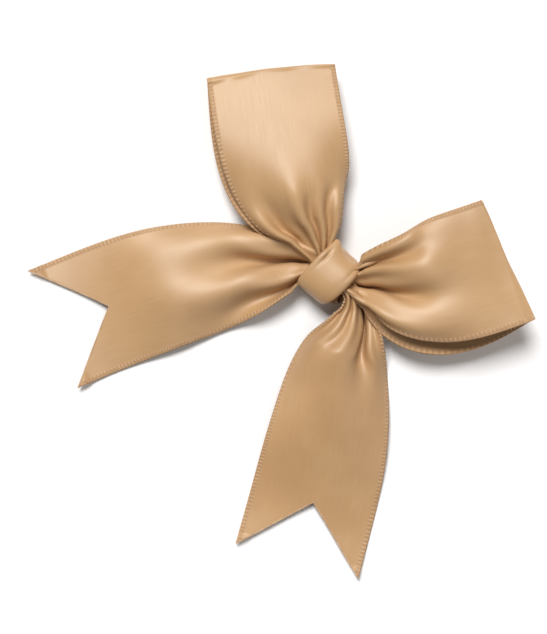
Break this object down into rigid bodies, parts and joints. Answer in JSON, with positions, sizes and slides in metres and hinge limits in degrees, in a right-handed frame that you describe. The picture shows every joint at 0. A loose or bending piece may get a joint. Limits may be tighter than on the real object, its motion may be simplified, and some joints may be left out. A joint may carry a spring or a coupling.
{
  "type": "tied ribbon gift bow",
  "caption": "Flat satin ribbon bow tied from one length of ribbon, with a wrapped knot, creased loops and V-cut tails, for fastening on a gift.",
  "frame": {"origin": "middle of the knot's flat back, where the bow is fastened to a gift", "axes": "+Z out of the front of the bow, away from the gift; +Y from the knot out between the two loops; +X to the right as the front is seen with the loops up"},
  "size_m": [0.0868, 0.0854, 0.0117],
  "materials": {
    "satin_ribbon": "champagne satin weave with a soft directional sheen",
    "woven_edge": "ribbed selvedge of the same yarn, closer woven than the face"
  },
  "bodies": {
    "knot": {"knot_wrap": "satin_ribbon", "knot_core": "satin_ribbon", "knot_back": "satin_ribbon"},
    "left_loop": {"left_loop_front": "satin_ribbon", "left_loop_back": "satin_ribbon"},
    "right_loop": {"right_loop_front": "satin_ribbon", "right_loop_back": "satin_ribbon"},
    "left_tail": {"left_tail": "satin_ribbon"},
    "right_tail": {"right_tail": "satin_ribbon"}
  },
  "joints": [
    {"name": "left_loop_lift", "type": "hinge", "parent": "knot", "child": "left_loop", "pos_m": [-0.0077, 0.003, 0.0056], "axis": [0.6101, 0.7923, 0], "range_deg": [-4, 55]},
    {"name": "right_loop_lift", "type": "hinge", "parent": "knot", "child": "right_loop", "pos_m": [0.0077, 0.003, 0.0056], "axis": [0.7815, -0.6239, 0], "range_deg": [-4, 55]},
    {"name": "left_tail_lift", "type": "hinge", "parent": "knot", "child": "left_tail", "pos_m": [-0.0072, -0.0034, 0.00175], "axis": [-0.8211, 0.5707, 0], "range_deg": [0, 50]},
    {"name": "right_tail_lift", "type": "hinge", "parent": "knot", "child": "right_tail", "pos_m": [0.0072, -0.0034, 0.00175], "axis": [-0.8729, -0.4879, 0], "range_deg": [0, 50]}
  ]
}
